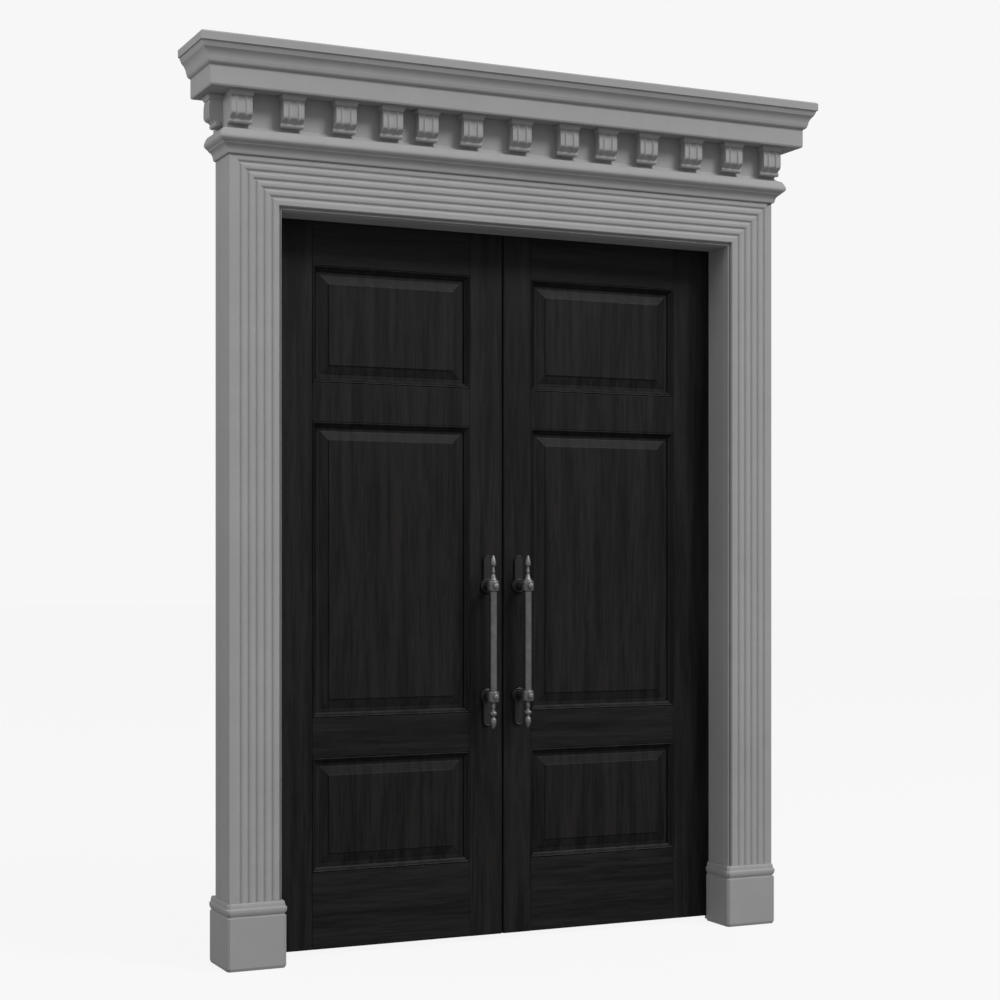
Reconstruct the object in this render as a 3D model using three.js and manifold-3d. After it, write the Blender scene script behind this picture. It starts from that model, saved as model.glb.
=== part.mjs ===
// A classical stone door surround with a bracketed cornice and the pair of panelled doors hung in it.
// Millimetres, +Z up. X runs along the front, +Y goes back into the wall, and the plinths stand on Z = 0.
// Inside the model the architrave's face is Y = 0; the whole is then centred on its own depth.
import * as THREE from 'three';
import { mergeVertices } from 'three/addons/utils/BufferGeometryUtils.js';
import Module from 'manifold-3d';

const wasm = await Module();
wasm.setup();

// Opening and architrave
const openingWidth = 1600;
const openingHeight = 2355;
const outerBand = 33;
const innerBands = 5;
const bandPitch = 25;
const grooveWidth = 13;
const grooveDepth = 5;
const arrisBevel = 3;
const headCover = 11;
const wallFace = 158;
const backSeamDepth = 109;
const backSeam = 3;
const stoneJoint = 0.3;

// Lining of the opening, with the rebate that the leaves close in
const liningReveal = 12;
const beadSetback = 10;
const beadDepth = 20;
const beadWidth = 7;
const beadInset = 1;
const beadFloor = 14;
const quirk = 4;
const liningBehind = 25;
const liningShoulder = 40;
const leafRebate = 10;
const doorFace = 146;
const leafThickness = 45;

// Plinths
const plinthBlock = 160;
const plinthHeight = 208;
const plinthProud = 9;
const plinthBevel = 7;

// Frieze course and cornice
const bedHeight = 87;
const friezeHeight = 101;
const friezeProud = 7;
const bedProud = 37;
const coronaProud = 79;
const coronaHeight = 61;
const crownProud = 118;
const crownHeight = 91;

// Brackets under the cornice; the gaps between them are uneven, as set by eye
const bracketWidth = 66;
const bracketProud = 42;
const bracketHeight = 99;
const bracketCap = 16;
const bracketCapProud = 6;
const bracketFace = 58;
const bracketBelly = 3.5;
const reedWidth = 16;
const reedGroove = 4.5;
const rollRadius = 8;
const rollPlace = 17;
const bracketGaps = [163, 168, 153, 119, 152, 170, 169, 140, 152, 168, 157, 150];
const returnBracketPlace = 76;

// Leaves
const leafFootGap = 18;
const leafClearance = 3;
const meetingPlace = 8;
const meetingGap = 4;
const meetingBevel = 4.5;
const panelFromCentre = 109.5;
const hingeStile = 146;
const bottomRail = 245;
const lowPanel = 366;
const lockRail = 128;
const upperRail = 125;
const topPanel = 374;
const topRail = 148;
const woodJoint = 0.3;
const mouldingWidth = 17;
const mouldingDrop = 11;
const mouldingRoot = 17;
const panelThickness = 22;
const bevelStart = 30;
const fieldInset = 57;
const fieldRise = 9;
const fieldStep = 3;

// Hinges at the back of each leaf
const hingeHeight = 250;
const hingeFromEnd = 260;
const barrelRadius = 6;
const barrelStandoff = 7;
const wingWidth = 40;
const wingThickness = 3;
const metalGap = 0.3;

// Pull handles
const handlePlace = 62;
const handleSplay = 6;
const handleStandoff = 66;
const upperMountHeight = 1176;
const lowerMountHeight = 812;
const barRadius = 13.5;
const roseRadius = 25;
const roseThickness = 9;
const plateWidth = 32;
const plateThickness = 8;
const plateReach = 101;
const postRootRadius = 16;
const postRadius = 11;
const collarRadius = 19.5;
const collarHeight = 37;
const knobRadius = 10;
const knobReach = 13;
const roundSides = 12;

// Sizes worked out from the ones above
const halfOpening = openingWidth / 2;
const legWidth = outerBand + innerBands * bandPitch;
const headWidth = legWidth - headCover;
const halfWidth = halfOpening + legWidth;
const courseFoot = openingHeight + headWidth + stoneJoint;
const friezeTop = courseFoot + bedHeight + friezeHeight;
const corniceFoot = friezeTop + stoneJoint;
const leafBack = doorFace + leafThickness;
const clearHalf = halfOpening - liningReveal;
const leafEdge = clearHalf + leafRebate - leafClearance;
const leafTop = openingHeight - liningReveal + leafRebate - leafClearance;
const hingeAxisY = leafBack + barrelStandoff;
const hingeAxisX = leafEdge + leafClearance / 2;
const depthCentre = (hingeAxisY + barrelRadius - crownProud) / 2;

// Finishes
const stone = { color: 0x8f8e90, roughness: 0.8, metalness: 0 };
const darkWood = { color: 0x1f1a18, roughness: 0.5, metalness: 0 };
const iron = { color: 0x5a5a5c, roughness: 0.4, metalness: 0.9 };

const part = new THREE.Group();
part.name = 'door_surround';
part.position.y = -depthCentre;

function addPiece(name, geometry, finish) {
  const mesh = new THREE.Mesh(geometry, new THREE.MeshStandardMaterial(finish));
  mesh.name = name;
  part.add(mesh);
  return mesh;
}

// Joining and cutting closed bodies

function toSolid(geometry) {
  const bare = geometry.clone();
  bare.deleteAttribute('normal');
  bare.deleteAttribute('uv');
  const merged = mergeVertices(bare, 1e-4);
  const vertices = new Float32Array(merged.attributes.position.array);
  const triangles = new Uint32Array(merged.index.array);
  return new wasm.Manifold(new wasm.Mesh({ numProp: 3, vertProperties: vertices, triVerts: triangles }));
}

function toGeometry(solid) {
  const mesh = solid.getMesh();
  const geometry = new THREE.BufferGeometry();
  geometry.setAttribute('position', new THREE.BufferAttribute(mesh.vertProperties, 3));
  geometry.setIndex(new THREE.BufferAttribute(mesh.triVerts, 1));
  return geometry;
}

function fuse(geometries) {
  const solids = geometries.map(toSolid);
  return toGeometry(solids.reduce((whole, piece) => whole.add(piece)));
}

// A body between two loops of the same section: every section point has a place at each end.
// The section runs counter-clockwise in its own plane when it is seen from its far end.

function spanSections(section, nearPoint, farPoint, turned) {
  const outline = section.map((p) => new THREE.Vector2(p[0], p[1]));
  const caps = THREE.ShapeUtils.triangulateShape(outline, []);
  const points = [...section.map(nearPoint), ...section.map(farPoint)].flat();
  const count = section.length;
  const faces = [];
  for (let i = 0; i < count; i += 1) {
    const j = (i + 1) % count;
    faces.push([i, j, count + j], [i, count + j, count + i]);
  }
  caps.forEach(([a, b, c]) => faces.push([a, c, b], [count + a, count + b, count + c]));
  const geometry = new THREE.BufferGeometry();
  geometry.setAttribute('position', new THREE.Float32BufferAttribute(points, 3));
  geometry.setIndex(faces.flatMap(([a, b, c]) => (turned ? [a, c, b] : [a, b, c])));
  return geometry;
}

// A body stacked from plan outlines, one at each height, all with the same number of corners.

function stackPlans(levels) {
  const corners = levels[0].plan.length;
  const points = levels.flatMap(({ plan, z }) => plan.flatMap(([x, y]) => [x, y, z]));
  const outline = levels[0].plan.map((p) => new THREE.Vector2(p[0], p[1]));
  const caps = THREE.ShapeUtils.triangulateShape(outline, []);
  const faces = [];
  for (let level = 0; level + 1 < levels.length; level += 1) {
    for (let i = 0; i < corners; i += 1) {
      const j = (i + 1) % corners;
      const a = level * corners;
      const b = a + corners;
      faces.push(a + i, a + j, b + j, a + i, b + j, b + i);
    }
  }
  const top = (levels.length - 1) * corners;
  caps.forEach(([a, b, c]) => faces.push(a, c, b, top + a, top + b, top + c));
  const geometry = new THREE.BufferGeometry();
  geometry.setAttribute('position', new THREE.Float32BufferAttribute(points, 3));
  geometry.setIndex(faces);
  return geometry;
}

function boxBetween([x0, x1], [y0, y1], [z0, z1]) {
  const box = new THREE.BoxGeometry(x1 - x0, y1 - y0, z1 - z0);
  return box.translate((x0 + x1) / 2, (y0 + y1) / 2, (z0 + z1) / 2);
}

function mirrored(plan) {
  return plan.map(([x, y]) => [-x, y]).reverse();
}

// Architrave: its section runs outward from the opening (s) and back from the face (depth)

function architraveSection(width, hasSeam) {
  const section = [[0, arrisBevel], [arrisBevel, 0]];
  for (let band = 1; band <= innerBands; band += 1) {
    const middle = band * bandPitch;
    section.push([middle - grooveWidth / 2, 0]);
    section.push([middle, grooveDepth]);
    section.push([middle + grooveWidth / 2, 0]);
  }
  section.push([width, 0]);
  if (hasSeam) {
    section.push([width, backSeamDepth], [width - backSeam, backSeamDepth + backSeam]);
    section.push([width, backSeamDepth + 2 * backSeam]);
  }
  section.push([width, wallFace], [liningBehind, wallFace]);
  section.push([liningBehind, wallFace - liningShoulder], [0, wallFace - liningShoulder]);
  return section;
}

// Lining: the same axes, with the bead towards the room in front and the rebate behind

function liningSection() {
  const outside = -stoneJoint;
  const behind = liningBehind - stoneJoint;
  const shoulder = wallFace - liningShoulder + stoneJoint;
  const beadInner = beadInset - liningReveal;
  const beadBack = beadSetback + beadDepth;
  const beadMiddle = beadBack - beadWidth / 2;
  const beadHeight = beadMiddle - beadSetback;
  const floorAngle = Math.PI - Math.asin((beadMiddle - beadFloor) / beadHeight);
  const steps = 5;
  const section = [[beadInner, beadBack]];
  for (let step = 0; step <= steps; step += 1) {
    const angle = floorAngle * step / steps;
    section.push([beadInner + beadWidth * (1 - Math.cos(angle)) / 2,
      beadMiddle - beadHeight * Math.sin(angle)]);
  }
  section.push([outside, beadFloor], [outside, shoulder], [behind, shoulder]);
  section.push([behind, wallFace + stoneJoint], [behind + liningShoulder, wallFace + stoneJoint]);
  section.push([behind + liningShoulder, leafBack], [leafRebate - liningReveal, leafBack]);
  section.push([leafRebate - liningReveal, doorFace - stoneJoint]);
  section.push([-liningReveal, doorFace - stoneJoint], [-liningReveal, beadBack + quirk]);
  section.push([beadInner + quirk / 4, beadBack + quirk / 2]);
  return section;
}

// A leg is cut off on the mitre where the head meets it, and level where it is wider than the head.
function addLeg(name, section, side, foot, mitreGap) {
  const reach = Math.max(...section.map(([s]) => s)) + 1;
  const top = openingHeight + Math.min(reach, headWidth) - mitreGap;
  const near = ([s, depth]) => [side * (halfOpening + s), depth, foot];
  const far = ([s, depth]) => [side * (halfOpening + s), depth, top];
  const post = toSolid(spanSections(section, near, far, side < 0));
  const mitreOffset = (halfOpening - openingHeight + mitreGap) / Math.SQRT2;
  addPiece(name, toGeometry(post.trimByPlane([side, 0, -1], mitreOffset)), stone);
}

function addHead(name, section) {
  const near = ([s, depth]) => [-(halfOpening + s), depth, openingHeight + s];
  const far = ([s, depth]) => [halfOpening + s, depth, openingHeight + s];
  addPiece(name, spanSections(section, near, far, true), stone);
}

const standing = plinthHeight + stoneJoint;
for (const [word, side] of [['left', -1], ['right', 1]]) {
  addLeg(`architrave_leg_${word}`, architraveSection(legWidth, true), side, standing, stoneJoint);
  addLeg(`lining_${word}`, liningSection(), side, standing, stoneJoint);
}
addHead('architrave_head', architraveSection(headWidth, false));
addHead('lining_head', liningSection());

// Plinth: a bevelled block with a cap moulding around its three shown sides.
// The block's inner side is notched at the back, where the leaf stands.

function plinthPlan(grow) {
  const inner = clearHalf - plinthProud - grow;
  const outer = halfWidth + plinthProud + grow;
  const front = -plinthProud - grow;
  const stop = doorFace - 1;
  const clear = clearHalf + leafRebate;
  const cut = plinthBevel;
  return [[inner + cut, front], [outer - cut, front], [outer, front + cut], [outer, leafBack],
    [clear, leafBack], [clear, stop], [inner, stop], [inner, front + cut]];
}

function addPlinth(name, side) {
  const profile = [[-3, 0], [0, 9], [0, plinthBlock + 3], [-4, plinthBlock + 5], [-4, plinthBlock + 8],
    [-1, plinthBlock + 12], [1.5, plinthBlock + 18], [2, plinthBlock + 24], [0.5, plinthBlock + 29],
    [-2.5, plinthBlock + 32], [-3, plinthBlock + 36], [-4, plinthBlock + 42], [-6, plinthHeight]];
  const levels = profile.map(([grow, z]) => {
    const plan = plinthPlan(grow);
    return { plan: side > 0 ? plan : mirrored(plan), z };
  });
  addPiece(name, stackPlans(levels), stone);
}

addPlinth('plinth_left', -1);
addPlinth('plinth_right', 1);

// Courses above the architrave: each profile point gives how far the course stands out and its height

function coursePlan(proud) {
  const half = halfWidth + proud;
  return [[-half, -proud], [half, -proud], [half, wallFace], [-half, wallFace]];
}

function addCourse(name, foot, profile) {
  const levels = profile.map(([proud, height]) => ({ plan: coursePlan(proud), z: foot + height }));
  addPiece(name, stackPlans(levels), stone);
}

// A moulding's line is drawn in shares of its stand-out and height, and stretched to its own sizes.
function drawnLine(line, [outFrom, outTo], [heightFrom, heightTo]) {
  return line.map(([out, height]) => [
    outFrom + out * (outTo - outFrom), heightFrom + height * (heightTo - heightFrom)]);
}

const bedLine = [[0.041, 0], [0.176, 0.029], [0.222, 0.092], [0.243, 0.149], [0.308, 0.218],
  [0.405, 0.276], [0.541, 0.322], [0.638, 0.347], [0.649, 0.374], [0.82, 0.428], [0.946, 0.483],
  [1, 0.54], [0.978, 0.62], [0.84, 0.745], [0.73, 0.828], [0.62, 0.86], [0.378, 0.901],
  [0.232, 0.961]];
const crownLine = [[0, 0], [0.13, 0.02], [0.25, 0.065], [0.3, 0.12], [0.32, 0.15], [0.34, 0.18],
  [0.385, 0.275], [0.446, 0.347], [0.538, 0.415], [0.646, 0.47], [0.742, 0.512], [0.775, 0.556],
  [0.87, 0.66], [0.87, 0.685], [1, 0.69], [1, 0.956], [0.9, 1]];

addCourse('frieze_course', courseFoot, [
  ...drawnLine(bedLine, [0, bedProud], [0, bedHeight]),
  [friezeProud, bedHeight], [friezeProud, bedHeight + friezeHeight],
]);

addCourse('cornice', corniceFoot, [
  [coronaProud - 3, 0], [coronaProud, 6],
  ...drawnLine(crownLine, [coronaProud, crownProud], [coronaHeight, coronaHeight + crownHeight]),
]);

// Bracket: built at the middle of its own back, facing -Y, its top at Z = 0

function bracketGeometry() {
  const half = bracketWidth / 2;
  const front = -bracketProud;
  const core = front + reedGroove;
  const faceFoot = -bracketCap - bracketFace;
  const rollHeight = rollRadius - bracketHeight;
  const flank = (face) => [[0, 0], [face + bracketBelly, 0], [face + bracketBelly, -bracketCap],
    [face, -bracketCap - bracketFace / 2], [face, faceFoot + 6], [face + 3, faceFoot],
    [-rollPlace - rollRadius - 4, faceFoot - 6], [-rollPlace - 3, rollHeight],
    [-rollPlace + 4, -bracketHeight + 2], [0, -bracketHeight]];
  const slab = (x0, x1, face) => {
    const near = ([y, z]) => [x0, y, z];
    const far = ([y, z]) => [x1, y, z];
    return spanSections(flank(face), near, far, false);
  };
  const inner = half - reedWidth;
  const roll = new THREE.CylinderGeometry(rollRadius, rollRadius, bracketWidth + 8, 8);
  roll.rotateZ(Math.PI / 2);
  roll.translate(0, -rollPlace, rollHeight);
  const capPlan = (grow) => [[-half - grow, front - grow], [half + grow, front - grow],
    [half + grow, 0], [-half - grow, 0]];
  const cap = stackPlans([
    { plan: capPlan(0.5), z: -bracketCap }, { plan: capPlan(2), z: -bracketCap + 3 },
    { plan: capPlan(bracketCapProud - 1), z: -bracketCap + 8 },
    { plan: capPlan(bracketCapProud), z: -bracketCap + 10 }, { plan: capPlan(bracketCapProud), z: 0 },
  ]);
  return fuse([slab(-half, half, core), slab(-half, -inner, front), slab(inner, half, front),
    slab(-inner + reedGroove, inner - reedGroove, front), roll, cap]);
}

const bracket = bracketGeometry();
const endBracket = halfWidth + friezeProud - bracketWidth / 2;
const gapTotal = bracketGaps.reduce((sum, gap) => sum + gap, 0);

function addBracket(name, x, y, turn) {
  const mesh = addPiece(name, bracket, stone);
  mesh.position.set(x, y, friezeTop);
  mesh.rotation.z = turn;
}

let bracketPlace = -endBracket;
for (let i = 0; i <= bracketGaps.length; i += 1) {
  addBracket(`bracket_${String(i + 1).padStart(2, '0')}`, bracketPlace, -friezeProud - stoneJoint, 0);
  if (i < bracketGaps.length) {
    bracketPlace += bracketGaps[i] * 2 * endBracket / gapTotal;
  }
}
const returnFace = halfWidth + friezeProud + stoneJoint;
addBracket('bracket_return_left', -returnFace, returnBracketPlace, -Math.PI / 2);
addBracket('bracket_return_right', returnFace, returnBracketPlace, Math.PI / 2);

// Leaf: panels are the mirror image of each other, but the leaves meet a little to the right of the middle

function placeX(side, range) {
  return range.map((x) => side * x).sort((a, b) => a - b);
}

function meetingStileGeometry(side, bottom, top) {
  const x0 = side * meetingPlace + meetingGap / 2;
  const plan = [[x0, doorFace + meetingBevel], [x0 + meetingBevel, doorFace],
    [panelFromCentre, doorFace], [panelFromCentre, leafBack],
    [x0 + meetingBevel, leafBack], [x0, leafBack - meetingBevel]];
  const turned = side > 0 ? plan : mirrored(plan);
  return stackPlans([{ plan: turned, z: bottom }, { plan: turned, z: top }]);
}

// A frame or board around a rectangle: each ring gives an inset from the rectangle and a depth

function ringRect([x0, x1], [z0, z1], inset) {
  return [[x0 + inset, z0 + inset], [x1 - inset, z0 + inset],
    [x1 - inset, z1 - inset], [x0 + inset, z1 - inset]];
}

function boardGeometry(spanX, spanZ, rings) {
  const levels = rings.map(([inset, depth]) => ({ plan: ringRect(spanX, spanZ, inset), z: -depth }));
  return stackPlans(levels).rotateX(Math.PI / 2);
}

function frameGeometry(spanX, spanZ, section) {
  const corners = 4;
  const count = section.length;
  const ring = ([inset, depth]) => ringRect(spanX, spanZ, inset).flatMap(([x, z]) => [x, depth, z]);
  const points = section.flatMap(ring);
  const faces = [];
  for (let i = 0; i < count; i += 1) {
    for (let k = 0; k < corners; k += 1) {
      const a = i * corners + k;
      const b = i * corners + (k + 1) % corners;
      const c = ((i + 1) % count) * corners + (k + 1) % corners;
      const d = ((i + 1) % count) * corners + k;
      faces.push(a, c, b, a, d, c);
    }
  }
  const geometry = new THREE.BufferGeometry();
  geometry.setAttribute('position', new THREE.Float32BufferAttribute(points, 3));
  geometry.setIndex(faces);
  return geometry;
}

const panelBack = doorFace + mouldingRoot + woodJoint + panelThickness;
const mouldingLine = [[1, 1.18], [0.82, 1], [0.53, 0.36], [0.35, 0], [0.18, -0.09]];
const mouldingSection = [[woodJoint, doorFace + 0.18 * mouldingDrop],
  [woodJoint, doorFace + mouldingRoot], [mouldingWidth, doorFace + mouldingRoot],
  ...drawnLine(mouldingLine, [0, mouldingWidth], [doorFace, doorFace + mouldingDrop])];
const boardFace = doorFace + mouldingRoot + woodJoint;
const fieldFace = boardFace - fieldRise;
const boardRings = [[woodJoint, panelBack], [woodJoint, boardFace], [bevelStart, boardFace],
  [fieldInset, fieldFace + fieldStep], [fieldInset + 0.5, fieldFace]];

function addLeaf(word, side) {
  const stileOuter = leafEdge - hingeStile;
  const depth = [doorFace, leafBack];
  const lockFoot = leafFootGap + bottomRail + lowPanel;
  const tallFoot = lockFoot + lockRail;
  const topPanelTop = leafTop - topRail;
  const upperTop = topPanelTop - topPanel;
  const upperFoot = upperTop - upperRail;
  addPiece(`${word}_hinge_stile`,
    boxBetween(placeX(side, [stileOuter, leafEdge]), depth, [leafFootGap, leafTop]), darkWood);
  addPiece(`${word}_meeting_stile`, meetingStileGeometry(side, leafFootGap, leafTop), darkWood);
  const railSpan = placeX(side, [panelFromCentre + woodJoint, stileOuter - woodJoint]);
  const rails = [['bottom_rail', leafFootGap, leafFootGap + bottomRail], ['lock_rail', lockFoot, tallFoot],
    ['upper_rail', upperFoot, upperTop], ['top_rail', topPanelTop, leafTop]];
  rails.forEach(([name, z0, z1]) => {
    addPiece(`${word}_${name}`, boxBetween(railSpan, depth, [z0, z1]), darkWood);
  });
  const panelSpan = placeX(side, [panelFromCentre, stileOuter]);
  const panels = [['low', leafFootGap + bottomRail, lockFoot], ['tall', tallFoot, upperFoot],
    ['top', upperTop, topPanelTop]];
  panels.forEach(([name, z0, z1]) => {
    addPiece(`${word}_${name}_panel`, boardGeometry(panelSpan, [z0, z1], boardRings), darkWood);
    addPiece(`${word}_${name}_moulding`, frameGeometry(panelSpan, [z0, z1], mouldingSection), darkWood);
  });
}

addLeaf('left', -1);
addLeaf('right', 1);

// Hinge: a barrel behind the corner of the leaf and a wing on the leaf's back

function hingeGeometry(side) {
  const barrel = new THREE.CylinderGeometry(barrelRadius, barrelRadius, hingeHeight, roundSides);
  barrel.rotateX(Math.PI / 2);
  barrel.translate(side * hingeAxisX, hingeAxisY, 0);
  const wing = boxBetween(placeX(side, [leafEdge - wingWidth, leafEdge - 1]),
    [leafBack + metalGap, leafBack + metalGap + wingThickness],
    [-hingeHeight / 2 + 5, hingeHeight / 2 - 5]);
  const neck = boxBetween(placeX(side, [leafEdge - 4, hingeAxisX - 1]),
    [leafBack + metalGap, hingeAxisY], [-hingeHeight / 2 + 5, hingeHeight / 2 - 5]);
  return fuse([barrel, wing, neck]);
}

for (const [word, side] of [['left', -1], ['right', 1]]) {
  const hinge = hingeGeometry(side);
  for (const [place, z] of [['lower', leafFootGap + hingeFromEnd], ['upper', leafTop - hingeFromEnd]]) {
    addPiece(`${word}_${place}_hinge`, hinge, iron).position.z = z;
  }
}

// Handles

function turned(profile) {
  return new THREE.LatheGeometry(profile.map(([r, h]) => new THREE.Vector2(r, h)), roundSides);
}

function turnedAlongZ(profile) {
  return turned(profile).rotateX(Math.PI / 2);
}

function turnedTowardsFront(profile) {
  return turned(profile).rotateX(Math.PI);
}

// Mount: a round-ended plate on the leaf, a rose, a leaning post, a collar for the bar and a knob.
// The origin is on the leaf's face, straight behind the bar; the plate is nearer the meeting line.

function mountGeometry(side) {
  const half = plateWidth / 2;
  const outline = new THREE.Shape();
  outline.moveTo(half, 0);
  outline.lineTo(half, plateReach - half);
  outline.absarc(0, plateReach - half, half, 0, Math.PI, false);
  outline.lineTo(-half, 0);
  outline.closePath();
  const settings = { depth: plateThickness, bevelEnabled: false, curveSegments: 8 };
  const plate = new THREE.ExtrudeGeometry(outline, settings).rotateX(Math.PI / 2);
  plate.translate(-side * handleSplay, 0, 0);
  const post = turnedTowardsFront([[0, 0], [roseRadius, 0], [roseRadius, roseThickness * 0.5],
    [roseRadius - 3, roseThickness], [roseRadius - 7, roseThickness], [postRootRadius, roseThickness - 2],
    [postRadius + 1, roseThickness + 14], [postRadius, handleStandoff - collarRadius],
    [postRadius, handleStandoff - 2], [0, handleStandoff - 2]]);
  const lean = new THREE.Matrix4().makeShear(0, 0, -side * handleSplay / handleStandoff, 0, 0, 0);
  post.applyMatrix4(lean).translate(-side * handleSplay, 0, 0);
  const edge = collarHeight / 2;
  const collar = turnedAlongZ([[0, -edge], [collarRadius - 4, -edge], [collarRadius, 5 - edge],
    [collarRadius, edge - 5], [collarRadius - 4, edge], [0, edge]]).translate(0, -handleStandoff, 0);
  const knobStart = handleStandoff + collarRadius - 3;
  const knobEnd = knobStart + knobReach;
  const knob = turnedTowardsFront([[0, knobStart], [knobRadius - 3, knobStart],
    [knobRadius - 3, knobStart + 3], [knobRadius, knobStart + 6], [knobRadius - 1, knobEnd - 3],
    [knobRadius - 5, knobEnd], [0, knobEnd]]);
  const boreRadius = barRadius + metalGap;
  const bore = turnedAlongZ([[0, -collarHeight], [boreRadius, -collarHeight],
    [boreRadius, collarHeight], [0, collarHeight]]).translate(0, -handleStandoff, 0);
  const body = [plate, post, collar, knob].map(toSolid).reduce((whole, piece) => whole.add(piece));
  return toGeometry(body.subtract(toSolid(bore)));
}

// Bar: one turned length, with an acorn drop below the lower mount and a tear-shaped finial on top.
// Each finial point gives a radius and a distance from the middle of its mount.

const acornDrop = [[0, 107], [2, 106], [5, 102], [9, 94], [11, 85], [11, 79], [8.5, 71], [4.5, 66.5],
  [4.5, 63], [11, 61], [13, 57], [13, 51], [10, 47], [4.5, 43], [6.5, 38], [7.5, 31], [7.5, 26],
  [5.5, 20]];
const tearFinial = [[12.5, 21], [7, 36], [5, 38.5], [4.5, 40], [6.5, 43], [6.5, 48], [4.5, 59], [4, 61],
  [4, 63], [8, 66], [9.8, 72], [9.5, 80], [7.5, 89], [5, 97], [2.5, 101], [0, 102]];

function barGeometry() {
  const shoulder = collarHeight / 2 + 1;
  const profile = acornDrop.map(([radius, drop]) => [radius, lowerMountHeight - drop]);
  profile.push([barRadius, lowerMountHeight - shoulder], [barRadius, upperMountHeight + shoulder]);
  tearFinial.forEach(([radius, rise]) => profile.push([radius, upperMountHeight + rise]));
  return turnedAlongZ(profile);
}

for (const [word, side] of [['left', -1], ['right', 1]]) {
  const place = meetingPlace + side * handlePlace;
  const mountFoot = doorFace - metalGap;
  const upper = addPiece(`${word}_upper_handle_mount`, mountGeometry(side), iron);
  upper.position.set(place, mountFoot, upperMountHeight);
  const lower = addPiece(`${word}_lower_handle_mount`, mountGeometry(-side).rotateY(Math.PI), iron);
  lower.position.set(place, mountFoot, lowerMountHeight);
  const bar = addPiece(`${word}_handle_bar`, barGeometry(), iron);
  bar.position.set(place, mountFoot - handleStandoff, 0);
}

export default part;
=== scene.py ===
"""A classical stone door surround with a bracketed cornice, and the pair of panelled doors hung in it.

Lengths are millimetres in the mason's own setting-out: X along the front from the middle of the opening,
Y back into the wall from the architrave's face, Z up from the floor. place() turns them into the frame.
"""
import math
import bmesh
import bpy
import numpy as np
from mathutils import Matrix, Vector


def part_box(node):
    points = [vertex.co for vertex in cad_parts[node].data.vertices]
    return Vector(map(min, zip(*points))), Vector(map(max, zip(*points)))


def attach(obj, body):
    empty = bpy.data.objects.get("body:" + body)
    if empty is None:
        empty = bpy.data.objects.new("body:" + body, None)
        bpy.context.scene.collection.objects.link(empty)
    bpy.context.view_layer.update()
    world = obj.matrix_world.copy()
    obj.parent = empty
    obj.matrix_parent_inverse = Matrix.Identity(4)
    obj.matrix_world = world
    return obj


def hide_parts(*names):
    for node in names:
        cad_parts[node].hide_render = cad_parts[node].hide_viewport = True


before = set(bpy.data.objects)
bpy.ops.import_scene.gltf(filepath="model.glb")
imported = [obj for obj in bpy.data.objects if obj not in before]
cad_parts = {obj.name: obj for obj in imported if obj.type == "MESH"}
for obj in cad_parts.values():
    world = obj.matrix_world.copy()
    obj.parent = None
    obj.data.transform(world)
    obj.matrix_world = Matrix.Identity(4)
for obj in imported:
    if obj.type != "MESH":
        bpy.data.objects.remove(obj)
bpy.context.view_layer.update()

# Setting-out, in millimetres, as the solids have it
HALF_OPENING = 800
OPENING_HEIGHT = 2355
LEG_WIDTH = 158
HEAD_WIDTH = 147
BAND_PITCH = 25.0
WALL_FACE = 158
LINING_BEHIND = 25
LINING_SHOULDER = 40
DOOR_FACE = 146
LEAF_BACK = 191
CLEAR_HALF = 788
HALF_WIDTH = HALF_OPENING + LEG_WIDTH
JOINT = 0.3
COURSE_FOOT = 2502.3
FRIEZE_TOP = 2690.3
FRIEZE_PROUD = 7
PLINTH_TOP = 208
LEAF_EDGE = 795
LEAF_FOOT = 18
LEAF_TOP = 2350
PANEL_INNER = 109.5
PANEL_OUTER = 649
MEETING = 8
MEETING_GAP = 4
GRIP_MIDDLE = 994
BRACKET_HALF = 33
RETURN_BRACKET_DEPTH = 76
BRACKET_GAPS = np.array([163, 168, 153, 119, 152, 170, 169, 140, 152, 168, 157, 150], float)
DEPTH_CENTRE = -1000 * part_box("architrave_head")[0][1]
SIDES = (("left", -1), ("right", 1))


# Shapes

def place(points):
    """Millimetres in the setting-out, as metres in the frame."""
    moved = np.array(points, float)
    moved[..., 1] -= DEPTH_CENTRE
    return moved / 1000


def eased(corners, radii, steps=4, closed=True):
    """A line with rounded corners. Corner P becomes the curve (1-t)^2 A + 2t(1-t) P + t^2 B,
    where A and B lie the corner's radius before and after P, at most 0.48 of the way to the next corner."""
    p = np.asarray(corners, float)
    r = np.broadcast_to(np.asarray(radii, float), len(p)).copy()
    before, after = np.roll(p, 1, 0) - p, np.roll(p, -1, 0) - p
    if not closed:
        r[0] = r[-1] = 0
    reach = [np.minimum(r / np.maximum(np.linalg.norm(d, axis=1), 1e-9), 0.48)[:, None]
             for d in (before, after)]
    t = np.linspace(0, 1, steps + 1)[None, :, None]
    a, b = (p + before * reach[0])[:, None], (p + after * reach[1])[:, None]
    curve = (1 - t) ** 2 * a + 2 * t * (1 - t) * p[:, None] + t ** 2 * b
    line = curve.reshape(-1, 2)
    far = np.linalg.norm(line - np.roll(line, 1, 0), axis=1) > 1e-6
    if not closed:
        far[0] = True
    return line[far]


def lofted(rings, ring_closed=False):
    """A closed body from rings of points, shape (rings, points, 3): each pair of neighbouring rings is
    joined by quads, and the end rings are capped, or joined to each other if ring_closed."""
    rings = np.asarray(rings, float)
    count, size = rings.shape[:2]
    here = np.arange(count if ring_closed else count - 1)[:, None] * size
    after = (here + size) % (count * size)
    j = np.arange(size)[None, :]
    beside = (j + 1) % size
    quads = np.stack([here + j, here + beside, after + beside, after + j], -1)
    faces = quads.reshape(-1, 4).tolist()
    if not ring_closed:
        faces += [list(range(size))[::-1], [(count - 1) * size + k for k in range(size)]]
    return rings.reshape(-1, 3), faces


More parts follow.
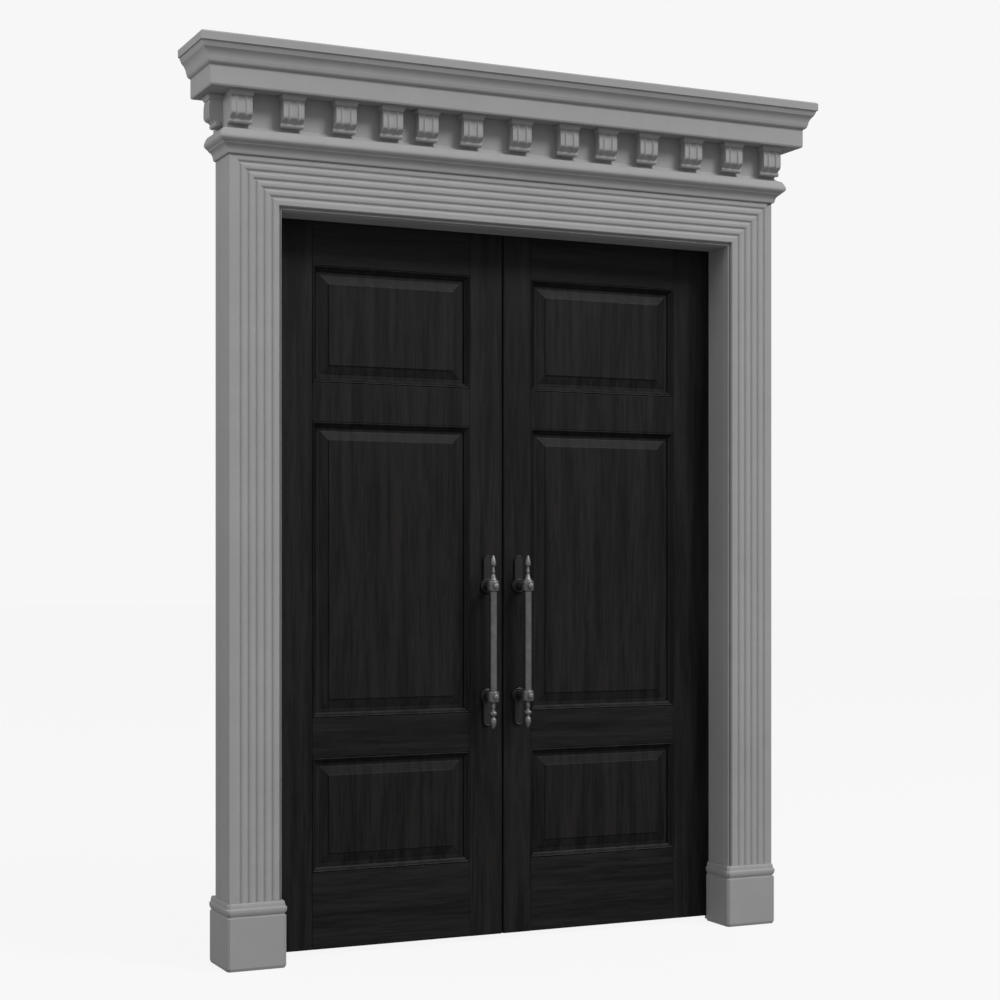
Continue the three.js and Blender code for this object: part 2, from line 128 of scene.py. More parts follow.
def turned(profile, axis=2, steps=40, centre=(0, 0, 0)):
    """A turned body: the profile's radius r and height h become (r cos a, r sin a, h) about the axis."""
    r, h = np.asarray(profile, float).T
    a = np.linspace(0, 2 * np.pi, steps, endpoint=False)
    ring = np.stack([r[:, None] * np.cos(a), r[:, None] * np.sin(a), np.repeat(h[:, None], steps, 1)], -1)
    if axis == 1:
        ring = np.stack([ring[..., 0], -ring[..., 2], ring[..., 1]], -1)
    if axis == 0:
        ring = np.stack([ring[..., 2], ring[..., 0], ring[..., 1]], -1)
    return lofted(ring + np.asarray(centre, float))


def rect_rings(x, z, insets, depths):
    """Rings around an upright rectangle: ring k is the rectangle shrunk by insets[k] at depths[k]."""
    i, y = np.asarray(insets, float), np.asarray(depths, float)
    xs = np.stack([x[0] + i, x[1] - i, x[1] - i, x[0] + i], 1)
    zs = np.stack([z[0] + i, z[0] + i, z[1] - i, z[1] - i], 1)
    return np.stack([xs, np.repeat(y[:, None], 4, 1), zs], -1)


def dressed_board(x, y, z, edge=1.5):
    """A board with rounded arrises: its plan is an eased rectangle, drawn in by the edge at both ends."""
    def ring(shrink, height):
        corners = [(x[0] + shrink, y[0] + shrink), (x[1] - shrink, y[0] + shrink),
                   (x[1] - shrink, y[1] - shrink), (x[0] + shrink, y[1] - shrink)]
        plan = eased(corners, edge, 3)
        return np.column_stack([plan, np.full(len(plan), height)])
    ends = [(edge, 0), (edge * 0.3, edge * 0.3), (0, edge)]
    rings = [ring(s, z[0] + h) for s, h in ends] + [ring(s, z[1] - h) for s, h in ends[::-1]]
    return lofted(rings)


def flipped(part):
    """The mirror image in X."""
    points, faces = part
    return points * [-1, 1, 1], faces


def make_piece(name, parts, body, finish, stands_for, crisp=32):
    """One object of one or more closed bodies, with its normals outward and its place in its mesh.
    It stands for the solid of that name; edges steeper than the crisp angle, in degrees, stay sharp."""
    points, faces, first = [], [], 0
    for part_points, part_faces in parts:
        points.append(part_points)
        faces += [[v + first for v in f] for f in part_faces]
        first += len(part_points)
    mesh = bpy.data.meshes.new(name)
    mesh.from_pydata(place(np.concatenate(points)), [], faces)
    work = bmesh.new()
    work.from_mesh(mesh)
    bmesh.ops.remove_doubles(work, verts=work.verts, dist=1e-6)
    bmesh.ops.dissolve_degenerate(work, dist=1e-6, edges=work.edges)
    bmesh.ops.recalc_face_normals(work, faces=work.faces)
    work.to_mesh(mesh)
    work.free()
    mesh.shade_smooth()
    mesh.set_sharp_from_angle(angle=math.radians(crisp))
    mesh.materials.append(finish)
    piece = bpy.data.objects.new(name, mesh)
    bpy.context.scene.collection.objects.link(piece)
    flats = piece.modifiers.new("true_flats", "WEIGHTED_NORMAL")
    flats.weight, flats.keep_sharp = 100, True
    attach(piece, body)
    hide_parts(stands_for)


# Materials

class Value:
    """A socket whose sums, differences and products add Math nodes to its tree."""

    def __init__(self, tree, socket):
        self.tree, self.socket = tree, socket

    def _with(self, operation, first, second):
        return self.tree.node("ShaderNodeMath", {"operation": operation}, {0: first, 1: second})

    def __add__(self, other):
        return self._with("ADD", self, other)

    def __sub__(self, other):
        return self._with("SUBTRACT", self, other)

    def __rsub__(self, other):
        return self._with("SUBTRACT", other, self)

    def __mul__(self, other):
        return self._with("MULTIPLY", self, other)

    __radd__ = __add__
    __rmul__ = __mul__


class Nodes:
    """A shader tree, built node by node."""

    def __init__(self, tree):
        self.tree = tree
        tree.nodes.clear()

    def node(self, kind, settings, inputs, output=0):
        """Adds a node: its settings first, then the values or links of its sockets."""
        new = self.tree.nodes.new(kind)
        for key, value in settings.items():
            setattr(new, key, value)
        for key, value in inputs.items():
            if isinstance(value, Value):
                self.tree.links.new(value.socket, new.inputs[key])
            else:
                new.inputs[key].default_value = value
        return Value(self, new.outputs[output]) if new.outputs else None

    def span(self, value, low, high, to_low=0.0, to_high=1.0):
        """Straight-line change from low..high to to_low..to_high, held at the ends."""
        return self.node("ShaderNodeMapRange", {"clamp": True},
                         {0: value, 1: low, 2: high, 3: to_low, 4: to_high})


class Finish(Nodes):
    """A procedural material on Object coordinates, in metres."""

    def __init__(self, name):
        self.material = bpy.data.materials.new(name)
        self.material.use_nodes = True
        super().__init__(self.material.node_tree)
        self.shader = self.tree.nodes.new("ShaderNodeBsdfPrincipled")
        self.node("ShaderNodeOutputMaterial", {}, {"Surface": Value(self, self.shader.outputs[0])})
        self.object = self.node("ShaderNodeTexCoord", {}, {}, "Object")

    def noise(self, scale, detail=3.0, roughness=0.5, where=None, distortion=0.0):
        inputs = {"Vector": where or self.object, "Scale": scale, "Detail": detail, "Roughness": roughness,
                  "Distortion": distortion}
        return self.node("ShaderNodeTexNoise", {}, inputs)

    def stretched(self, x, y, z):
        return self.node("ShaderNodeMapping", {}, {"Vector": self.object, "Scale": (x, y, z)})

    def blend(self, factor, first, second):
        return self.node("ShaderNodeMix", {"data_type": "RGBA"}, {0: factor, 6: first, 7: second}, 2)

    def bump(self, height, distance, strength=1.0):
        return self.node("ShaderNodeBump", {}, {"Height": height, "Distance": distance, "Strength": strength},
                         "Normal")

    def set(self, **sockets):
        for key, value in sockets.items():
            name = key.replace("_", " ")
            if isinstance(value, Value):
                self.tree.links.new(value.socket, self.shader.inputs[name])
            else:
                self.shader.inputs[name].default_value = value
        return self.material


def grey(value, warm=0.0):
    return (value * (1 + warm), value, value * (1 - warm), 1)


def cast_stone():
    """Smooth grey cast stone: a soft mottle, a fine sandy grain and pin-prick pores."""
    f = Finish("cast_stone")
    mottle = f.noise(2.6, 4, 0.6)
    cloud = f.noise(17, 3, 0.55)
    sand = f.noise(900, 2, 0.6)
    pores = f.span(f.noise(330, 1, 0.4), 0.70, 0.76)
    tone = f.span(mottle * 0.6 + cloud * 0.4, 0.35, 0.65)
    colour = f.blend(tone, grey(0.335, 0.004), grey(0.372, -0.002))
    colour = f.blend(f.span(sand, 0.3, 0.7, 0, 0.10), colour, grey(0.25))
    colour = f.blend(pores * 0.25, colour, grey(0.16))
    height = sand * 0.5 + cloud * 0.8 - pores * 0.6
    return f.set(Base_Color=colour, Roughness=f.span(cloud, 0.3, 0.7, 0.74, 0.88),
                 Normal=f.bump(height, 0.00022, 0.45), Specular_IOR_Level=0.35)


def dark_wood(name, along):
    """Wood stained almost black: broad boards of tone, fibres and short pores, all drawn out along the
    grain, which runs along x or z."""
    f = Finish(name)
    across = {"x": (0.05, 1, 1), "z": (1, 1, 0.05)}[along]
    streak = {"x": (0.02, 1, 1), "z": (1, 1, 0.02)}[along]
    broad = f.noise(34, 3, 0.6, f.stretched(*across), 0.4)
    fibre = f.noise(210, 4, 0.65, f.stretched(*across), 0.2)
    pores = f.span(f.noise(520, 2, 0.5, f.stretched(*streak)), 0.56, 0.68)
    tone = f.span(broad * 0.6 + fibre * 0.4, 0.41, 0.59)
    colour = f.blend(tone, (0.0014, 0.0012, 0.0012, 1), (0.0128, 0.0113, 0.0108, 1))
    colour = f.blend(pores * 0.6, colour, (0.0015, 0.0012, 0.0012, 1))
    return f.set(Base_Color=colour, Roughness=f.span(fibre, 0.3, 0.7, 0.46, 0.62),
                 Normal=f.bump(fibre - pores * 0.7, 0.00025, 0.5), Specular_IOR_Level=0.21)


def burnished_iron():
    """Dark satin iron, a little unevenly rubbed, with painted shade that turns it near-black as it nears the
    leaf, and smoother along the grip than at the turned ends."""
    f = Finish("burnished_iron")
    rubbed = f.noise(28, 4, 0.6)
    skin = f.noise(420, 3, 0.55)
    out = f.node("ShaderNodeSeparateXYZ", {}, {0: f.object}, "Y")
    from_grip = f.node("ShaderNodeSeparateXYZ", {}, {0: f.object}, "Z") - GRIP_MIDDLE / 1000
    dull = f.span(from_grip * from_grip, 0.024, 0.029, 0.25, 0.50)
    # painted shade: the iron goes from its own colour to near-black between 55 and 90 mm of the frame's depth,
    # towards the leaf
    clear_of_leaf_shade = f.span(out, 0.055, 0.09, 1, 0)
    colour = f.blend(f.span(rubbed, 0.35, 0.65), grey(0.19, 0.004), grey(0.26, 0.002))
    colour = f.blend(clear_of_leaf_shade, grey(0.045), colour)
    return f.set(Base_Color=colour, Metallic=0.9, Roughness=dull + f.span(rubbed, 0.3, 0.7, 0.05, 0),
                 Normal=f.bump(skin, 0.00012, 0.1))


STONE = cast_stone()
WOOD_UPRIGHT = dark_wood("dark_wood_upright", "z")
WOOD_LEVEL = dark_wood("dark_wood_level", "x")
IRON = burnished_iron()


# Architrave and lining

def architrave_section(width, seam):
    """The closed section (outward from the opening, back from the face): an outer band and five inner
    ones parted by rounded grooves, with all the shoulders eased. The legs have a mason's seam on their
    outer side, and a corner where the narrower head meets them."""
    corners, radii = [(0, 3.2), (3.2, 0)], [1, 1]
    for band in range(1, 6):
        middle = band * BAND_PITCH
        corners += [(middle - 6.9, 0), (middle - 2, 5), (middle + 2, 5), (middle + 6.9, 0)]
        radii += [3.8, 2.6, 2.6, 3.8]
    if seam:
        corners += [(HEAD_WIDTH, 0), (width, 0), (width, 107.5), (width - 3, 109), (width - 3, 111),
                    (width, 112.5), (width, WALL_FACE)]
        radii += [0, 1.5, 0.6, 0.6, 0.6, 0.6, 1]
    else:
        corners += [(width, 0)]
        radii += [1.5]
    back = WALL_FACE - LINING_SHOULDER
    corners += [(HEAD_WIDTH, WALL_FACE), (LINING_BEHIND, WALL_FACE), (LINING_BEHIND, back), (0, back)]
    radii += [1, 0, 0, 0]
    return eased(corners, radii, 5)


def lining_section():
    """The closed section on the same axes. The bead in front is a tall half-ellipse,
    s = -11 + 3.5 (1 - cos a) and depth 26.5 - 16.5 sin a, between a sunk joint and a quirk;
    the rebate for the leaf is at the back."""
    a = np.linspace(0, 0.727 * np.pi, 18)
    bead = np.stack([-11 + 3.5 * (1 - np.cos(a)), 26.5 - 16.5 * np.sin(a)], 1)
    outside, behind = -JOINT, LINING_BEHIND - JOINT
    far, shoulder = behind + LINING_SHOULDER, WALL_FACE - LINING_SHOULDER + JOINT
    rest = [(-4.6, 14.2), (outside, 14.2), (outside, shoulder), (behind, shoulder),
            (behind, WALL_FACE + JOINT), (far, WALL_FACE + JOINT), (far, LEAF_BACK), (-2, LEAF_BACK),
            (-2, DOOR_FACE - JOINT), (-12, DOOR_FACE - JOINT), (-12, 34), (-10.1, 32.6), (-10, 31.6), (-11, 30)]
    radii = [0.4, 0.2, 0, 0, 0, 0, 1, 1, 0, 1.5, 1.2, 0.5, 0.5, 0]
    return np.concatenate([bead, eased(rest, radii, 3, closed=False)])


def leg(section, side):
    """A post of the section, from the plinth to its mitre under the head."""
    s, depth = section.T
    x = side * (HALF_OPENING + s)
    foot = np.full(len(s), PLINTH_TOP + JOINT)
    top = OPENING_HEIGHT + np.minimum(s, HEAD_WIDTH) - JOINT
    return lofted([np.stack([x, depth, foot], 1), np.stack([x, depth, top], 1)])


def head(section):
    """A beam of the section, mitred at both ends."""
    s, depth = section.T
    z = OPENING_HEIGHT + s
    x = HALF_OPENING + s
    return lofted([np.stack([-x, depth, z], 1), np.stack([x, depth, z], 1)])


def stonework(name, parts, stands_for, crisp=32):
    make_piece(name, parts, "surround", STONE, stands_for, crisp)


for word, side in SIDES:
    stonework("architrave_band_" + word, [leg(architrave_section(LEG_WIDTH, True), side)],
              "architrave_leg_" + word)
    stonework("beaded_lining_" + word, [leg(lining_section(), side)], "lining_" + word)
stonework("architrave_band_head", [head(architrave_section(HEAD_WIDTH, False))], "architrave_head")
stonework("beaded_lining_head", [head(lining_section())], "lining_head")


# Plinths and courses

def plinth(side):
    """A stack of plans: the block's rectangle, with quirked chamfers in front and a notch behind for the
    leaf, grown by the cap's profile."""
    proud, notch, stop = 9, CLEAR_HALF + 10, DOOR_FACE - 1
    profile = eased([(-3.5, 0), (0, 9), (0, 163), (-0.8, 164), (-3.8, 164.8), (-4, 167.4), (-1.6, 170.6),
                     (1.2, 176.5), (2.2, 184), (1.2, 190), (-2.4, 192), (-2.6, 195.5), (-3.6, 203),
                     (-6, 207.6), (-8.5, PLINTH_TOP)],
                    [0, 1.5, 0.4, 0.4, 0.6, 1.2, 3, 4, 5, 2, 0.5, 1, 4, 1.5, 0], 3, closed=False)
    quirk = np.array([(8.5, 0), (7.6, 1.3), (6.6, 0.8), (0.8, 6.6), (1.3, 7.6), (0, 8.5)])

    def plan(grow):
        inner, outer, front = CLEAR_HALF - proud - grow, HALF_WIDTH + proud + grow, -proud - grow
        outer_corner = [outer, front] + quirk * [-1, 1]
        inner_corner = [inner, front] + quirk[::-1]
        back = [(outer, LEAF_BACK), (notch, LEAF_BACK), (notch, stop), (inner, stop)]
        return np.concatenate([inner_corner[-1:], outer_corner, back, inner_corner[:-1]])
    rings = [np.column_stack([plan(g), np.full(16, z)]) for g, z in profile]
    body = lofted(rings)
    return body if side > 0 else flipped(body)


def course(profile, foot):
    """A course with mitred returns: each profile point (stand-out e, height h) is a rectangle in plan,
    half-width HALF_WIDTH + e, from e in front of the architrave back to the wall face."""
    rings = []
    for e, h in profile:
        x, z = HALF_WIDTH + e, foot + h
        rings.append([(-x, -e, z), (x, -e, z), (x, WALL_FACE, z), (-x, WALL_FACE, z)])
    return lofted(rings)


BED = eased([(1.5, 0), (4.8, 1), (7.2, 3.4), (8.2, 8), (9, 13), (11.4, 19), (15, 24), (20, 28), (23.4, 30),
             (24, 32), (26, 34.2), (30.4, 37.2), (34.8, 41.6), (36.9, 45.8), (37, 49.4), (36.2, 54),
             (33.8, 59.4), (30.8, 65.4), (27.8, 71), (25.4, 73.6), (18.8, 75.8), (13, 79), (8.8, 83.8),
             (FRIEZE_PROUD, 86.6), (FRIEZE_PROUD, FRIEZE_TOP - COURSE_FOOT)],
            [0, 1, 2, 3, 4, 5, 4, 3, 0.8, 0.8, 1, 3, 4, 3, 3, 4, 4, 4, 1.6, 1, 4, 4, 2, 1, 0],
            4, closed=False)
CROWN = eased([(76.5, 0), (79, 5), (79, 60), (80.2, 61.8), (84, 63), (88.4, 66.8), (90.6, 71.6), (91.2, 74.8),
               (91.6, 76), (92.2, 77.4), (92.8, 81), (94, 86), (96.4, 92.6), (100, 98.8), (104.2, 103.8),
               (107.8, 107.6), (108.2, 109.6), (109.4, 112), (113, 121), (113, 123.3), (117.2, 123.9),
               (118, 124.8), (118, 147.6), (114, 152)],
              [0, 0.8, 0.5, 0.4, 2, 3, 2, 0.6, 0.4, 0.6, 2, 3, 4, 4, 3, 0.5, 0.5, 1, 1.5, 0.5, 0.4, 0.4,
               0.8, 0], 4, closed=False)

for word, side in SIDES:
    stonework("moulded_plinth_" + word, [plinth(side)], "plinth_" + word)
stonework("bed_moulding_and_frieze", [course(BED, COURSE_FOOT)], "frieze_course", 24)
stonework("corona_and_crown", [course(CROWN, FRIEZE_TOP + JOINT)], "cornice", 24)


# Brackets

def bracket():
    """A bracket about the middle of its own back, its top at 0. The flank line (y, z) runs down the face,
    under and around to the back. Across the width the line is pushed in along its own normal by
    4.2 exp(-((|x| - 14.8) / 2.6)^2) at the reeds' grooves and by 1.6 (1 - sqrt(1 - e^2)) at the rounded
    edges, with e from 0 to 1 over the last 3 mm, and out by 1.2 cos(pi |x| / 24) on the middle reed.
    All fade out at the top and towards the back."""
    face = eased([(0, -1), (-38.5, -1), (-38.5, -17), (-41.2, -30), (-42, -44), (-42, -65), (-41.2, -70),
                  (-38.8, -73.8), (-33.6, -77), (-28.6, -79.6), (-25, -84), (-20, -91), (-13, -97), (0, -98)],
                 [0, 0, 3, 8, 8, 6, 3, 3, 4, 3, 3, 3, 2, 0], 4, closed=False)
    half = BRACKET_HALF
    x = np.concatenate([[-half, -32.6, -31.6], np.linspace(-30, 30, 81), [31.6, 32.6, half]])
    edge = np.clip((np.abs(x) - 30) / 3, 0, 1)
    grooves = 4.2 * np.exp(-((np.abs(x) - 14.8) / 2.6) ** 2) + 1.6 * (1 - np.sqrt(1 - edge ** 2))
    crown = -1.2 * np.cos(np.clip(np.abs(x) / 12, 0, 1) * np.pi / 2)
    along = np.gradient(face, axis=0)
    normal = np.stack([along[:, 1], -along[:, 0]], 1) / np.linalg.norm(along, axis=1)[:, None]
    shown = np.clip((-face[:, 0] - 25) / 8, 0, 1) * np.clip((-face[:, 1] - 6) / 8, 0, 1)
    push = (grooves + crown)[None, :] * shown[:, None]
    yz = face[:, None, :] + normal[:, None, :] * push[..., None]
    rings = np.stack([np.repeat(x[None, :], len(face), 0), yz[..., 0], yz[..., 1]], -1).transpose(1, 0, 2)
    body = lofted(rings)
    roll = turned(eased([(0, -37), (6.6, -37), (8, -35.2), (8, 35.2), (6.6, 37), (0, 37)],
                        [0, 1, 1.4, 1.4, 1, 0], 3, closed=False), 0, 28, (0, -17, -91))
    cap_line = eased([(0.4, -16.5), (2, -14.5), (2.4, -12), (3.4, -9.4), (5.6, -8), (6, -6.6), (6, 0)],
                     [0, 0.6, 1.5, 1.5, 0.6, 0.5, 0], 4, closed=False)
    cap = lofted([[(-half - g, -42 - g, z), (half + g, -42 - g, z), (half + g, 0, z), (-half - g, 0, z)]
                  for g, z in cap_line])
    return [body, roll, cap]


def set_bracket(parts, x, y, turn):
    """The parts turned about the upright through the angle, and moved to their place under the cornice,
    their backs a joint's width in front of the frieze."""
    c, s = math.cos(turn), math.sin(turn)
    spin = np.array([[c, s, 0], [-s, c, 0], [0, 0, 1]])
    return [(points @ spin + [x, y, FRIEZE_TOP], faces) for points, faces in parts]


BRACKET = bracket()
END = HALF_WIDTH + FRIEZE_PROUD - BRACKET_HALF
STAND_OUT = FRIEZE_PROUD + JOINT
places = -END + 2 * END * np.concatenate([[0], np.cumsum(BRACKET_GAPS)]) / BRACKET_GAPS.sum()
for number, x in enumerate(places, 1):
    stonework("reeded_bracket_%02d" % number, set_bracket(BRACKET, x, -STAND_OUT, 0),
              "bracket_%02d" % number, 28)
for word, side in SIDES:
    x, turn = side * (HALF_WIDTH + STAND_OUT), side * math.pi / 2
    stonework("reeded_bracket_return_" + word, set_bracket(BRACKET, x, RETURN_BRACKET_DEPTH, turn),
              "bracket_return_" + word, 28)


# Leaves

MOULDING = eased([(0.3, 148), (0.3, 163), (17, 163), (17, 158.8), (15.6, 157), (12.4, 154.6), (9, 151.2),
                  (6.6, 147.6), (4.6, 145.6), (2.6, 145.2), (1.4, 146.6)],
                 [0, 0, 0, 1, 1, 2, 3, 2, 1.2, 1, 0.6], 3)
FIELD = eased([(0.3, 185.3), (0.3, 163.3), (29, 163.3), (30.4, 162.6), (55.6, 157.6), (56.8, 157.2),
               (57.2, 154.9), (58.2, 154.3), (62, 154.3)], [0, 0, 0.6, 0.6, 1, 0.3, 0.4, 0.4, 0],
              3, closed=False)


def leaf(word, side):
    """Stiles, rails, mitred mouldings and raised panels of one leaf."""
    depth = (DOOR_FACE, LEAF_BACK)
    low, lock, tall, top_panel, top = 263, (629, 757), 1703, 1828, 2202

    def span(a, b):
        return sorted((side * a, side * b))

    def woodwork(name, part, finish, stands_for, crisp=32):
        make_piece("%s_%s" % (word, name), [part], word + "_leaf", finish,
                   "%s_%s" % (word, stands_for), crisp)

    hinge_stile = dressed_board(span(PANEL_OUTER, LEAF_EDGE), depth, (LEAF_FOOT, LEAF_TOP))
    woodwork("outer_stile", hinge_stile, WOOD_UPRIGHT, "hinge_stile")
    edge = side * MEETING + MEETING_GAP / 2
    plan = eased([(edge, DOOR_FACE + 4.5), (edge + 1.2, DOOR_FACE + 1.2), (edge + 4.5, DOOR_FACE),
                  (PANEL_INNER, DOOR_FACE), (PANEL_INNER, LEAF_BACK), (edge + 4.5, LEAF_BACK),
                  (edge + 1.2, LEAF_BACK - 1.2), (edge, LEAF_BACK - 4.5)],
                 [1, 1.5, 1, 1.2, 1.2, 1, 1.5, 1], 3) * [side, 1]
    meeting = lofted([np.column_stack([plan, np.full(len(plan), z)]) for z in (LEAF_FOOT, LEAF_TOP)])
    woodwork("closing_stile", meeting, WOOD_UPRIGHT, "meeting_stile")
    rail_x = span(PANEL_INNER + JOINT, PANEL_OUTER - JOINT)
    for name, z, finish in (("bottom_rail", (LEAF_FOOT, low), WOOD_LEVEL), ("lock_rail", lock, WOOD_LEVEL),
                            ("upper_rail", (tall, top_panel), WOOD_UPRIGHT),
                            ("top_rail", (top, LEAF_TOP), WOOD_LEVEL)):
        woodwork("dressed_" + name, dressed_board(rail_x, depth, z), finish, name)
    panel_x = span(PANEL_INNER, PANEL_OUTER)
    for name, z in (("low", (low, lock[0])), ("tall", (lock[1], tall)), ("top", (top_panel, top))):
        woodwork(name + "_fielded_panel", lofted(rect_rings(panel_x, z, *FIELD.T)), WOOD_UPRIGHT,
                 name + "_panel", 12)
        woodwork(name + "_mitred_moulding", lofted(rect_rings(panel_x, z, *MOULDING.T), True), WOOD_UPRIGHT,
                 name + "_moulding", 24)


for word, side in SIDES:
    leaf(word, side)


# Handles and hinges

BAR_PLACE, BAR_RADIUS, MOUNT_HEIGHTS, STANDOFF, SPLAY = 62, 13.5, (812, 1176), 66, 6
HINGE_FROM_END = 260
MOUNT_FOOT = DOOR_FACE - JOINT
BAR_DEPTH = MOUNT_FOOT - STANDOFF


def handle_bar(x):
    """The turned bar: an acorn drop and its collars below, the plain grip, and a tear-shaped finial above."""
    low, high = MOUNT_HEIGHTS
    drop = [(0, 107), (1.5, 106.6), (3, 104.6), (6.6, 98), (10, 90), (11, 82.5), (10.4, 76), (9, 72),
            (7.4, 70.4), (4.6, 67.4), (4.6, 64), (9.6, 62), (12.8, 59), (12.8, 52.6), (10, 49), (5, 46.6),
            (4.4, 43.6), (6.4, 38.6), (7.5, 31), (7, 25), (5.4, 20)]
    rise = [(12.6, 21), (9.6, 26), (7.2, 34), (6.2, 38), (4.2, 39.6), (4.2, 41), (6.4, 43.4), (6.6, 47.4),
            (5.2, 54), (4.4, 60), (4.1, 63), (7.4, 65.2), (9.4, 69.6), (9.8, 74.4), (9, 82), (6.8, 91),
            (4.2, 98), (2, 101.4), (0, 102)]
    line = [(r, low - d) for r, d in drop]
    line += [(5.6, low - 19), (BAR_RADIUS, low - 18.6), (BAR_RADIUS, high + 19)]
    line += [(r, high + d) for r, d in rise]
    return turned(eased(line, 0.9, 2, closed=False), 2, 40, (x, BAR_DEPTH, 0))


def handle_mount(x, z, side, up):
    """A plate with a rim, a dished rose, a leaning post, the collar round the bar and its knob. The plate's
    rings are square at the rose and round at the far end, (r cos t, 85 + r sin t), at radius r."""
    foot, face = x - side * SPLAY, MOUNT_FOOT
    t = np.linspace(0, np.pi, 17)
    rings = []
    for r, out in ((16, 0), (16, 5.4), (15.4, 7.2), (14, 8), (12.4, 7.6), (11.6, 6.6), (10.6, 6.2), (4, 7)):
        across = np.concatenate([[r], r * np.cos(t), [-r]])
        along = np.concatenate([[0], 85 + r * np.sin(t), [0]])
        rings.append(np.stack([foot + across, np.full(len(across), face - out), z + along * up], 1))
    plate = lofted(rings)
    rose_line = eased([(0, 0), (25, 0), (25, 3.6), (24, 6.6), (21.4, 8.8), (18.4, 8.4), (16.6, 6.8),
                       (14.6, 7.4), (12.8, 12), (11.8, 20), (11, 34), (11, 64), (0, 64)],
                      [0, 0.4, 1.2, 1.5, 1.5, 1, 1, 1.5, 3, 4, 2, 0, 0], 3, closed=False)
    points, faces = turned(rose_line, 1, 40, (foot, face, z))
    points[:, 0] += side * SPLAY * (face - points[:, 1]) / STANDOFF
    collar = turned(eased([(0, -18.5), (15.4, -18.5), (18.6, -16.4), (19.5, -12), (19.5, 12), (18.6, 16.4),
                           (15.4, 18.5), (0, 18.5)], [0, 0.8, 1.5, 3, 3, 1.5, 0.8, 0], 3, closed=False),
                    2, 40, (x, BAR_DEPTH, z))
    knob = turned(eased([(0, 80), (7, 80), (6.4, 84.1), (7.6, 85.9), (10, 87.5), (10.2, 91.1), (8.6, 94.1),
                         (5, 95.2), (0, 95.5)], [0, 0, 1, 0.8, 1.4, 1.6, 1.5, 1, 0], 3, closed=False),
                  1, 32, (x, face, z))
    return [plate, (points, faces), collar, knob]


def hinge(side, z):
    """A butt hinge: five knuckles of a 12 mm barrel with fine gaps, ball tips, and the wing on the leaf,
    held by five screws set zigzag. The screws are turned facing front, then mirrored to the back."""
    line = [(0, -125), (3.5, -124.6), (6, -123), (6, -121)]
    for k in range(1, 5):
        level = -121 + k * 242 / 5
        line += [(6, level - 0.7), (5.3, level - 0.4), (5.3, level + 0.4), (6, level + 0.7)]
    line += [(6, 121), (6, 123), (3.5, 124.6), (0, 125)]
    barrel = turned(line, 2, 24, (side * (LEAF_EDGE + 1.5), LEAF_BACK + 7, z))
    height = (z - 120, z + 120)
    wing = dressed_board(sorted((side * (LEAF_EDGE - 40), side * (LEAF_EDGE - 1))),
                         (LEAF_BACK + JOINT, LEAF_BACK + JOINT + 3), height, 0.5)
    neck = dressed_board(sorted((side * (LEAF_EDGE - 4), side * (LEAF_EDGE + 0.5))),
                         (LEAF_BACK + JOINT, LEAF_BACK + 7), height, 0.5)
    screws = [turned([(0, 0), (4.2, 0), (4.2, 3.3), (3.8, 3.6), (0, 3.6)], 1, 16,
                     (side * (LEAF_EDGE - 14 - 14 * (k % 2)), LEAF_BACK, z - 90 + 45 * k)) for k in range(5)]
    return [barrel, wing, neck] + [(points * [1, -1, 1] + [0, 2 * LEAF_BACK, 0], faces)
                                   for points, faces in screws]


def ironwork(word, name, parts, stands_for):
    make_piece("%s_%s" % (word, name), parts, word + "_leaf", IRON, "%s_%s" % (word, stands_for))


for word, side in SIDES:
    x = MEETING + side * BAR_PLACE
    ironwork(word, "turned_pull_bar", [handle_bar(x)], "handle_bar")
    for level, z, up in (("lower", MOUNT_HEIGHTS[0], -1), ("upper", MOUNT_HEIGHTS[1], 1)):
        ironwork(word, level + "_pull_mount", handle_mount(x, z, side, up), level + "_handle_mount")
    for level, z in (("lower", LEAF_FOOT + HINGE_FROM_END), ("upper", LEAF_TOP - HINGE_FROM_END)):
        ironwork(word, level + "_butt_hinge", hinge(side, z), level + "_hinge")


# Floor, light and camera

def pale_floor():
    """A wide pale floor, evenly lit like the white room, that throws no light back on the work."""
    f = Finish("pale_floor")
    half = 60
    corners = [(-half, -half, 0), (half, -half, 0), (half, half, 0), (-half, half, 0)]
    mesh = bpy.data.meshes.new("floor")
    mesh.from_pydata(corners, [], [(0, 1, 2, 3)])
    mesh.materials.append(f.set(Base_Color=grey(0.05), Roughness=0.9, Specular_IOR_Level=0,
                                Emission_Color=grey(0.893), Emission_Strength=1))
    floor = bpy.data.objects.new("floor", mesh)
    bpy.context.scene.collection.objects.link(floor)
    floor.visible_diffuse = floor.visible_glossy = False


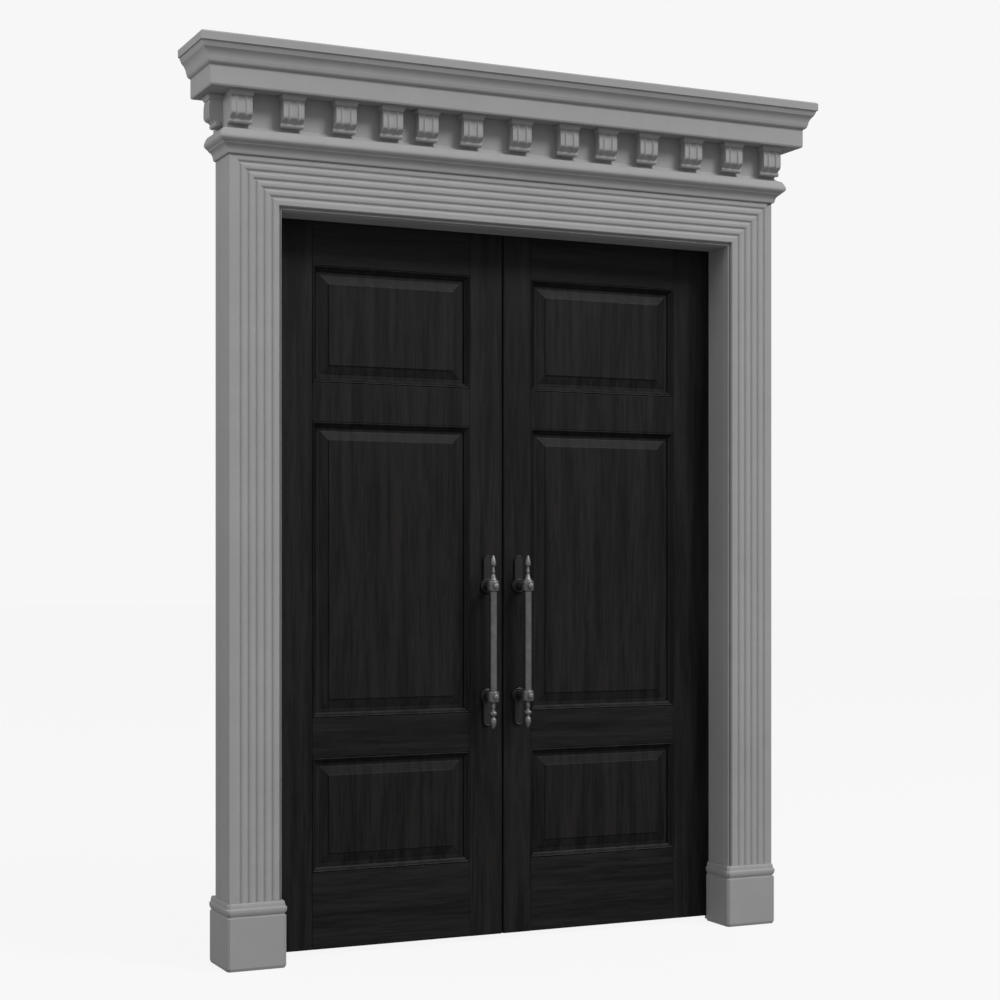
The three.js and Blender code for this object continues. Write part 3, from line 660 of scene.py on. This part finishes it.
def studio():
    """A white room to the eye. Its light is a soft dome, bright above and dim below the horizon, a broad
    lamp high in front on the right, and a smaller one beside the left end of the cornice."""
    world = bpy.data.worlds.new("studio")
    world.use_nodes = True
    n = Nodes(world.node_tree)
    way = n.node("ShaderNodeTexCoord", {}, {}, "Generated")
    up = n.node("ShaderNodeSeparateXYZ", {}, {0: way}, "Z")
    seen = n.node("ShaderNodeBackground", {}, {"Color": grey(0.93)})
    glow = n.span(up, -0.3, 0.2, 0.24, 0.50)
    dome = n.node("ShaderNodeBackground", {}, {"Color": grey(1), "Strength": glow})
    eye = n.node("ShaderNodeLightPath", {}, {}, "Is Camera Ray")
    room = n.node("ShaderNodeMixShader", {}, {0: eye, 1: dome, 2: seen})
    n.node("ShaderNodeOutputWorld", {}, {"Surface": room})
    bpy.context.scene.world = world
    for name, place_at, aim, size, watts in (("key", (6.8, -10.5, 13.4), (0, 0, 1.6), 6.0, 1840),
                                             ("side", (-3.4, -0.6, 3.4), (-1, 0, 2.5), 1.2, 23)):
        lamp = bpy.data.lights.new(name, "AREA")
        lamp.shape, lamp.size, lamp.energy = "DISK", size, watts
        light = bpy.data.objects.new(name, lamp)
        light.location = place_at
        away = [a - b for a, b in zip(place_at, aim)]
        light.rotation_euler = (math.acos(away[2] / math.hypot(*away)), 0, math.atan2(away[0], -away[1]))
        light.visible_camera = False
        bpy.context.scene.collection.objects.link(light)


def camera():
    """The photograph's view: level, turned 27.35 degrees from the front, the frame shifted up and left."""
    data = bpy.data.cameras.new("camera")
    data.sensor_width, data.lens = 36, 74.69
    data.shift_x, data.shift_y = -0.1648, 0.0665
    data.clip_end = 100
    eye = bpy.data.objects.new("camera", data)
    eye.location = place([-2688.4, -6241.7, 1240.2])
    eye.rotation_euler = (math.pi / 2, 0, math.radians(-27.35))
    bpy.context.scene.collection.objects.link(eye)
    bpy.context.scene.camera = eye


pale_floor()
studio()
camera()
bpy.context.scene.view_settings.view_transform = "Standard"
bpy.context.scene.view_settings.look = "None"
